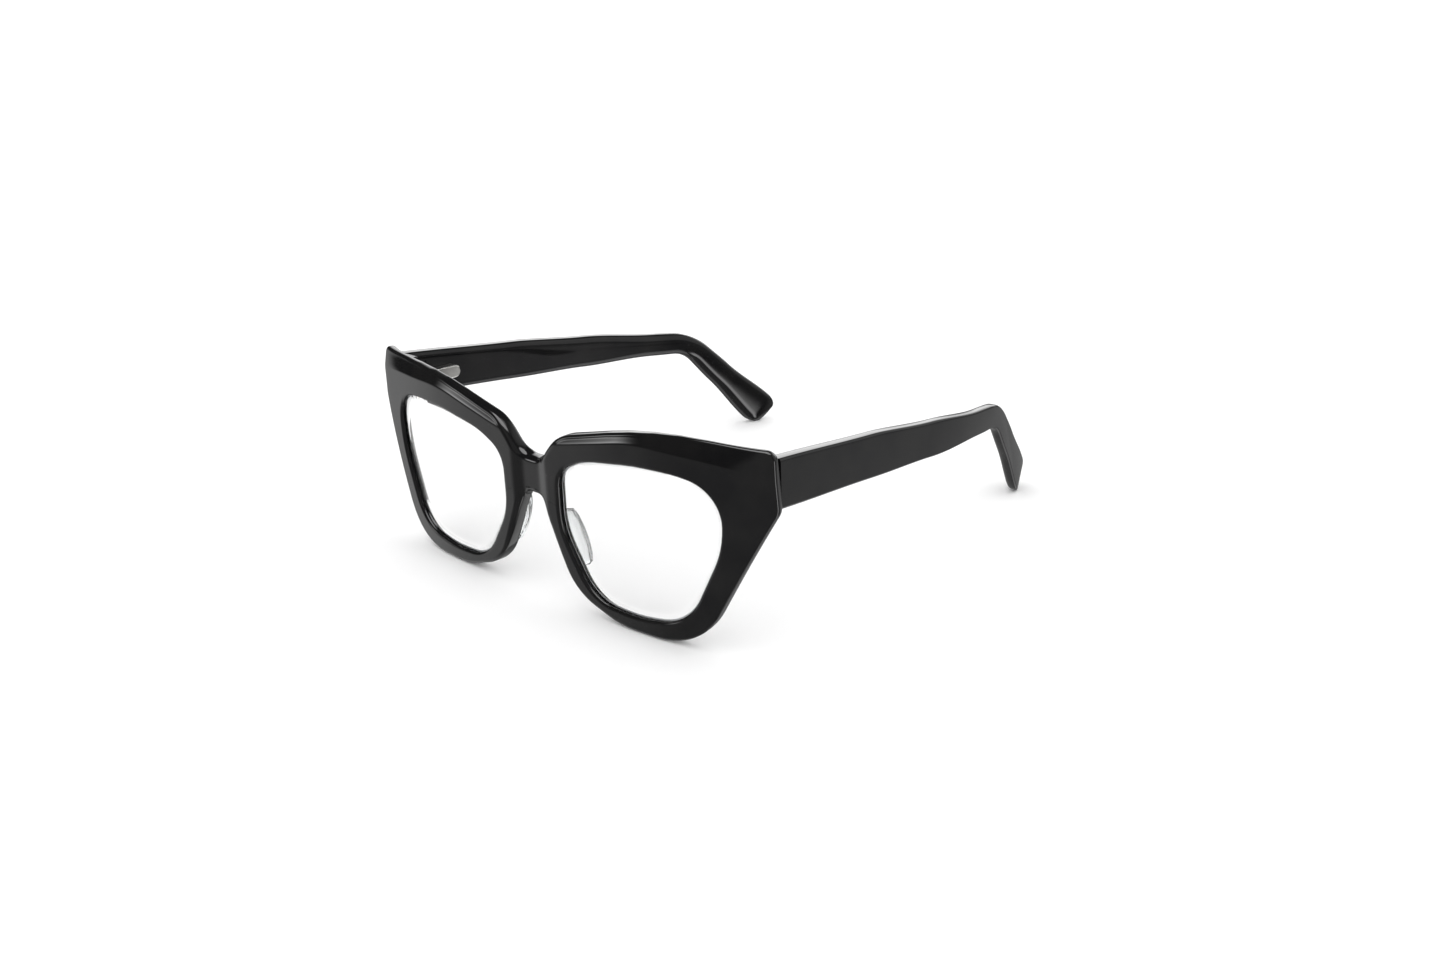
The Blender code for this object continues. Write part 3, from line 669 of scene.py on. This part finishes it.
def leaf_piece(word, side, finish):
    """The leaf set in the end piece, with its upper and lower knuckles."""
    x, y, z = HINGE
    plate = box((x - LEAF_HALF_WIDTH, BLOCK_BACK - LEAF_THICKNESS, z - LEAF_HALF_HEIGHT),
                (x + LEAF_HALF_WIDTH, BLOCK_BACK, z + LEAF_HALF_HEIGHT))
    leaf = add_piece(word + "_hinge_leaf", *plate, finish, side)
    root = BLOCK_BACK - KNUCKLE_ROOT
    start, end = KNUCKLE_ARC
    turns = [math.radians(start + k * (end - start) / KNUCKLE_STEPS) for k in range(KNUCKLE_STEPS + 1)]
    plan = [(x - KNUCKLE_FOOT, root), (x + KNUCKLE_FOOT, root)]
    plan += [(x + KNUCKLE_RADIUS * math.cos(a), y + KNUCKLE_RADIUS * math.sin(a)) for a in turns]
    for low, high in ((OUTER_LOW, OUTER_HIGH), (-OUTER_HIGH, -OUTER_LOW)):
        combine(leaf, prism(plan, z + low, z + high), 'UNION', finish, side)
    bore = solid_turned([(KNUCKLE_BORE, -OUTER_HIGH - 1), (KNUCKLE_BORE, OUTER_HIGH + 1)])
    combine(leaf, (upright(bore[0]), bore[1]), 'DIFFERENCE', finish, side)
    soften_edges(leaf, LEAF_ROUNDING)
    leaf.data.shade_smooth()
    leaf.data.set_sharp_from_angle(angle=math.radians(35))
    return leaf


def screw_piece(word, side, finish):
    """The hinge screw with its rounded, slotted head."""
    low, high = SCREW_HEAD
    tip, shoulder = SCREW_REACH
    rim = high - HEAD_ROUNDING
    profile = [(SCREW_RADIUS * SCREW_TAPER, -OUTER_HIGH - tip), (SCREW_RADIUS, -OUTER_HIGH - shoulder),
               (SCREW_RADIUS, low), (SCREW_HEAD_RADIUS, low), (SCREW_HEAD_RADIUS, rim)]
    profile += [(SCREW_HEAD_RADIUS - HEAD_ROUNDING * (1 - math.cos(turn)),
                 rim + HEAD_ROUNDING * math.sin(turn)) for turn in HEAD_TURNS]
    shape = solid_turned(profile)
    screw = add_piece(word + "_slotted_screw", upright(shape[0]), shape[1], finish, side)
    slot = box((-CUT, -SLOT_HALF_WIDTH, high - SLOT_DEPTH), (CUT, SLOT_HALF_WIDTH, high + CUT))
    combine(screw, (upright(slot[0]), slot[1]), 'DIFFERENCE', finish, side)
    screw.data.shade_smooth()
    screw.data.set_sharp_from_angle(angle=math.radians(40))
    return screw


def case_outline(grow):
    """Side view of the spring case as (u, w), square in front and round at the back."""
    half = CASE_HALF_HEIGHT + grow
    centre = CASE_END - CASE_HALF_HEIGHT
    turns = [math.radians(-90 + 180 * k / CASE_STEPS) for k in range(CASE_STEPS + 1)]
    outline = [(CASE_START - grow, half), (CASE_START - grow, -half)]
    return outline + [(centre + half * math.cos(a), half * math.sin(a)) for a in turns]


def case_piece(word, side, finish):
    """The spring case with a rounded rim, sunk into the temple's inner face."""
    stations = []
    for k in range(ROUND_STEPS, -1, -1):
        turn = math.radians(90 * k / ROUND_STEPS)
        stations.append((-CASE_HALF_WIDTH + CASE_ROUNDING * (1 - math.sin(turn)),
                         -CASE_ROUNDING * (1 - math.cos(turn))))
    stations.append((CASE_SUNK, 0))
    points, faces = loft([[(u, v, w) for u, w in case_outline(grow)] for v, grow in stations])
    case = add_piece(word + "_spring_case", hinge_frame(points), faces, finish, side)
    chamber = CASE_START + CASE_WALL
    hole = solid_turned([(STEM_HOLE, CASE_START - 1), (STEM_HOLE, chamber), (CASE_BORE, chamber),
                         (CASE_BORE, CASE_BORE_END)])
    places = hinge_frame([(high, across, -up) for up, across, high in hole[0]])
    combine(case, (places, hole[1]), 'DIFFERENCE', finish, side)
    case.data.shade_smooth()
    case.data.set_sharp_from_angle(angle=math.radians(35))
    return case


def spring_piece(word, side, finish):
    """The coil round the slider's stem, made at one length and carried on the slider."""
    start, end = SPRING_SPAN
    count = SPRING_TURNS * SPRING_STEPS
    rings = []
    for k in range(count + 1):
        turn = 2 * math.pi * k / SPRING_STEPS
        along = start + (end - start) * k / count
        ring = []
        for i in range(SPRING_SIDES):
            angle = 2 * math.pi * i / SPRING_SIDES
            reach = SPRING_RADIUS + SPRING_WIRE * math.cos(angle)
            ring.append((along + SPRING_WIRE * math.sin(angle), reach * math.cos(turn),
                         reach * math.sin(turn)))
        rings.append(hinge_frame(ring))
    spring = add_piece(word + "_coil_spring", *loft(rings), finish, side, 60)
    place_piece(spring, word + "_slider", "wire_steel", word + "_hinge_spring")
    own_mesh(spring)


# ---------------------------------------------------------------- temples

def temple_outer(y):
    """The outer face's distance from the middle plane, at a depth y."""
    bend = max(0, y - TEMPLE_CURVE_START)
    return TEMPLE_OUTER - math.tan(SPLAY) * (y - TEMPLE_START) - TEMPLE_CURVE * bend * bend


def temple_stations():
    """Middle line of the temple: (distance, place, up) at each station, and its length."""
    line = divided(rounded(TEMPLE_LINE, False))
    travelled = [0]
    for start, end in zip(line, line[1:]):
        travelled.append(travelled[-1] + (end - start).length)
    length = travelled[-1]
    spots = [k * (length - TIP_ROUND) / TEMPLE_STEPS for k in range(TEMPLE_STEPS)]
    for k in range(TIP_STEPS + 1):
        spots.append(length - TIP_ROUND * (1 - math.sin(math.radians(90 * k / TIP_STEPS))))
    stations = []
    for far in spots:
        k = next(i for i in range(1, len(travelled)) if far <= travelled[i] + 1e-6)
        part = (far - travelled[k - 1]) / (travelled[k] - travelled[k - 1])
        along = (line[min(k + 1, len(line) - 1)] - line[max(k - 2, 0)]).normalized()
        square = Vector((-along.y, along.x))
        up = Vector((0, 1)).lerp(square, min(1, far / LEVEL_LENGTH)).normalized()
        stations.append((far, line[k - 1].lerp(line[k], part), up))
    return stations, length


def rounded_section(height, thickness, outer_radius, inner_radius):
    """A section as (up, in) points, in being 0 on the outer face; the inner face is crowned."""
    section = []
    for sign_up, sign_in, radius, start in ((1, -1, outer_radius, 180), (1, 1, inner_radius, 90),
                                            (-1, 1, inner_radius, 0), (-1, -1, outer_radius, 270)):
        centre = (sign_up * (height / 2 - radius), thickness / 2 + sign_in * (thickness / 2 - radius))
        for k in range(ROUND_STEPS + 1):
            angle = math.radians(start - 90 * k / ROUND_STEPS)
            section.append((centre[0] + radius * math.sin(angle), centre[1] + radius * math.cos(angle)))
        if sign_up == 1 and sign_in == 1:
            high = height / 2 - radius
            section += [(high * (1 - 2 * k / CROWN_STEPS), thickness) for k in range(1, CROWN_STEPS)]
    return [(up, deep - CROWN * (2 * up / height) ** 2 * deep / thickness) for up, deep in section]


def temple_piece(word, side, finish):
    """The acetate temple, seated for the spring case and hollowed for the knuckles."""
    stations, length = temple_stations()
    rings = []
    for far, place, up in stations:
        height = table(TEMPLE_HEIGHTS, far)
        thick = table(TEMPLE_THICKNESS, far)
        left = max(0, TIP_ROUND - (length - far)) / TIP_ROUND
        fall = 1 - math.sqrt(max(0, 1 - left * left))
        height -= TIP_NARROWING * fall
        thin = TIP_NARROWING * TIP_THINNING * fall
        half = thick / 2
        outer_radius = min(OUTER_ROUNDING, half - thin - THIN_MARGIN[0])
        inner_radius = min(INNER_ROUNDING + far / ROUNDING_GROWTH, half - THIN_MARGIN[1])
        inner_radius = max(inner_radius - thin, LEAST_ROUNDING)
        ring = []
        for high, deep in rounded_section(height, thick - 2 * thin, outer_radius, inner_radius):
            y = place.x + up.x * high
            z = place.y + up.y * high
            ring.append((temple_outer(y) - thin - deep, y, z))
        rings.append(ring)
    arm = add_piece(word + "_acetate_temple", *loft(rings), finish, side)
    seat = loft([[(u, v, w) for u, w in case_outline(CASE_SEAT_GAP)] for v in (-CUT, CASE_SUNK + GAP)])
    combine(arm, (hinge_frame(seat[0]), seat[1]), 'DIFFERENCE', finish, side)
    clear = SCREW_HEAD[1] + GAP
    room = box((-CUT, -CUT, -clear), (CASE_START, CASE_HALF_WIDTH + GAP, clear))
    combine(arm, (hinge_frame(room[0]), room[1]), 'DIFFERENCE', finish, side)
    arm.data.shade_smooth()
    arm.data.set_sharp_from_angle(angle=math.radians(35))
    return arm


# ---------------------------------------------------------------- studio

def reflection_only(surface):
    """Leaves a surface to be seen in reflections and nowhere else."""
    surface.visible_camera = False
    surface.visible_diffuse = False
    surface.visible_transmission = False
    surface.visible_volume_scatter = False
    surface.visible_shadow = False


DOME_GLOW = 0.03            # brightness of the dome between its panels

# What the gloss mirrors, as (name, azimuth from, to, softness, elevation from, to, softness,
# brightness), in degrees seen from the object: azimuth 0 is the front and 90 the right side.
PANELS = [
    ("front_floor", -48, 70, 16, -90, -4, 6, 0.20),
    ("left_floor", -88, -48, 22, -90, -4, 6, 0.90),
    ("back_left_floor", -180, -96, 20, -90, -4, 6, 0.30),
    ("right_floor", 78, 94, 6, -60, 10, 8, 4.5),
    ("back_right_floor", 112, 180, 12, -32, -4, 6, 0.38),
    ("under_right", 112, 180, 12, -90, -38, 6, 1.2),
    ("key", -51, -43, 7, 8, 17, 6, 8.0),
    ("front_wall", 1, 60, 3, -4, 50, 6, 0.20),
    ("backdrop", -180, -118, 12, 3, 25, 6, 2.4),
    ("top", -180, 180, 1, 64, 90, 4, 5.0),
    ("right_wall", 104, 180, 12, 4, 52, 8, 0.6),
]


def smooth_band(made, source, low, high, softness):
    """A node value that is 1 between low and high, and falls off softly outside them.

    A band that reaches 180 degrees either way goes on there without an edge.
    """
    nodes = made.node_tree.nodes
    links = made.node_tree.links
    rising = nodes.new('ShaderNodeMapRange')
    falling = nodes.new('ShaderNodeMapRange')
    if low == -180:
        low -= 2 * softness
    if high == 180:
        high += 2 * softness
    for fade, start, end in ((rising, low - softness, low + softness),
                             (falling, high + softness, high - softness)):
        fade.interpolation_type = 'SMOOTHSTEP'
        fade.inputs["From Min"].default_value = math.radians(start)
        fade.inputs["From Max"].default_value = math.radians(end)
        links.new(source.outputs[0], fade.inputs["Value"])
    return combined(made, 'MULTIPLY', rising, falling)


def combined(made, operation, *values):
    """A Math node fed by other nodes or by plain numbers."""
    result = made.node_tree.nodes.new('ShaderNodeMath')
    result.operation = operation
    for socket, value in zip(result.inputs, values):
        if isinstance(value, (int, float)):
            socket.default_value = value
        else:
            made.node_tree.links.new(value.outputs[0], socket)
    return result


def dome(radius=1.6):
    """The dark studio with its lit panels, as polished surfaces mirror it."""
    bpy.ops.mesh.primitive_uv_sphere_add(segments=64, ring_count=32, radius=radius)
    shell = bpy.context.object
    shell.name = "studio_dome"
    made = bpy.data.materials.new("studio_dome")
    made.use_nodes = True
    nodes = made.node_tree.nodes
    links = made.node_tree.links
    nodes.clear()
    place = nodes.new('ShaderNodeNewGeometry')
    parts = nodes.new('ShaderNodeSeparateXYZ')
    links.new(place.outputs["Position"], parts.inputs["Vector"])
    backward = nodes.new('ShaderNodeMath')
    backward.operation = 'MULTIPLY'
    backward.inputs[1].default_value = -1
    links.new(parts.outputs["Y"], backward.inputs[0])
    azimuth = nodes.new('ShaderNodeMath')
    azimuth.operation = 'ARCTAN2'
    links.new(parts.outputs["X"], azimuth.inputs[0])
    links.new(backward.outputs[0], azimuth.inputs[1])
    height = nodes.new('ShaderNodeMath')
    height.operation = 'DIVIDE'
    height.inputs[1].default_value = radius
    links.new(parts.outputs["Z"], height.inputs[0])
    elevation = combined(made, 'ARCSINE', height)
    total = combined(made, 'ADD', DOME_GLOW, 0.0)
    for name, left, right, soft_side, low, high, soft_height, brightness in PANELS:
        across = smooth_band(made, azimuth, left, right, soft_side)
        upward = smooth_band(made, elevation, low, high, soft_height)
        share = combined(made, 'MULTIPLY', across, upward)
        lit = combined(made, 'MULTIPLY', share, brightness)
        lit.label = name
        total = combined(made, 'ADD', total, lit)
    glow = nodes.new('ShaderNodeEmission')
    links.new(total.outputs[0], glow.inputs["Strength"])
    out = nodes.new('ShaderNodeOutputMaterial')
    links.new(glow.outputs["Emission"], out.inputs["Surface"])
    shell.data.materials.append(made)
    reflection_only(shell)


def floor():
    """A large white floor."""
    bpy.ops.mesh.primitive_plane_add(size=40)
    ground = bpy.context.object
    ground.name = "floor"
    ground.data.materials.append(new_material("floor", Base_Color=(0.93, 0.93, 0.93, 1), Roughness=0.9))
    ground.visible_glossy = False


def studio():
    """White surroundings that light the scene, the floor and what the gloss mirrors."""
    scene = bpy.context.scene
    scene.view_settings.view_transform = 'Standard'
    world = bpy.data.worlds.new("studio")
    scene.world = world
    world.use_nodes = True
    sky = world.node_tree.nodes["Background"]
    sky.inputs["Color"].default_value = (1, 1, 1, 1)
    sky.inputs["Strength"].default_value = 1.3
    floor()
    dome()


# Camera: where it looks from, as the direction back from the view and its place in millimetres.
CAMERA_AZIMUTH = math.radians(44.35)
CAMERA_ELEVATION = math.radians(20.66)
CAMERA_ROLL = math.radians(-2.1)
CAMERA_PLACE = (278.27, -219.17, 160.20)
FOCAL_SHARE = 1582.4 / 1445


def camera():
    """The camera at the view's angle."""
    turn = CAMERA_AZIMUTH
    rise = CAMERA_ELEVATION
    back = Vector((math.sin(turn) * math.cos(rise), -math.cos(turn) * math.cos(rise), math.sin(rise)))
    level = Vector((math.cos(turn), math.sin(turn), 0))
    right = Matrix.Rotation(CAMERA_ROLL, 3, back) @ level
    up = back.cross(right)
    eye = bpy.data.cameras.new("camera")
    eye.sensor_width = 36
    eye.lens = eye.sensor_width * FOCAL_SHARE
    eye.clip_start = 0.01
    seat = bpy.data.objects.new("camera", eye)
    place = Vector(CAMERA_PLACE) - Vector((0, LENGTH / 2, 0))
    seat.matrix_world = Matrix.Translation(place * MM) @ Matrix((right, up, back)).transposed().to_4x4()
    bpy.context.scene.collection.objects.link(seat)
    bpy.context.scene.camera = seat


# ---------------------------------------------------------------- assembly

def place_piece(piece, body, slot, *nodes):
    """Puts a finished piece on its body in place of the frame's plain ones."""
    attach(piece, body)
    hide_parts(*nodes)


def main():
    """Builds every piece and the studio."""
    acetate = black_acetate()
    glass = clear_lens()
    ground = ground_glass()
    pad = clear_pad()
    nickel = polished_metal("hinge_nickel", (0.78, 0.77, 0.74), 0.12, 0.25)
    steel = polished_metal("screw_steel", (0.66, 0.66, 0.67), 0.18, 0.34)
    place_piece(front_piece(acetate), "front", "black_acetate", "front_frame")
    for word, side in SIDES:
        place_piece(lens_piece(word, side, glass, ground), "front", "clear_lens", word + "_lens")
        place_piece(pad_piece(word, side, pad), "front", "clear_pad", word + "_nose_pad")
        place_piece(leaf_piece(word, side, nickel), "front", "hinge_steel", word + "_front_hinge")
        place_piece(screw_piece(word, side, steel), "front", "wire_steel", word + "_hinge_screw")
        place_piece(case_piece(word, side, nickel), word + "_temple", "hinge_steel",
                    word + "_hinge_case")
        place_piece(temple_piece(word, side, acetate), word + "_temple", "black_acetate",
                    word + "_temple")
        spring_piece(word, side, steel)
        for node, finish in (("_hinge_slider", nickel), ("_spring_stop", steel), ("_temple_core", steel)):
            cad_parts[word + node].data.materials[0] = finish
    studio()
    camera()


main()
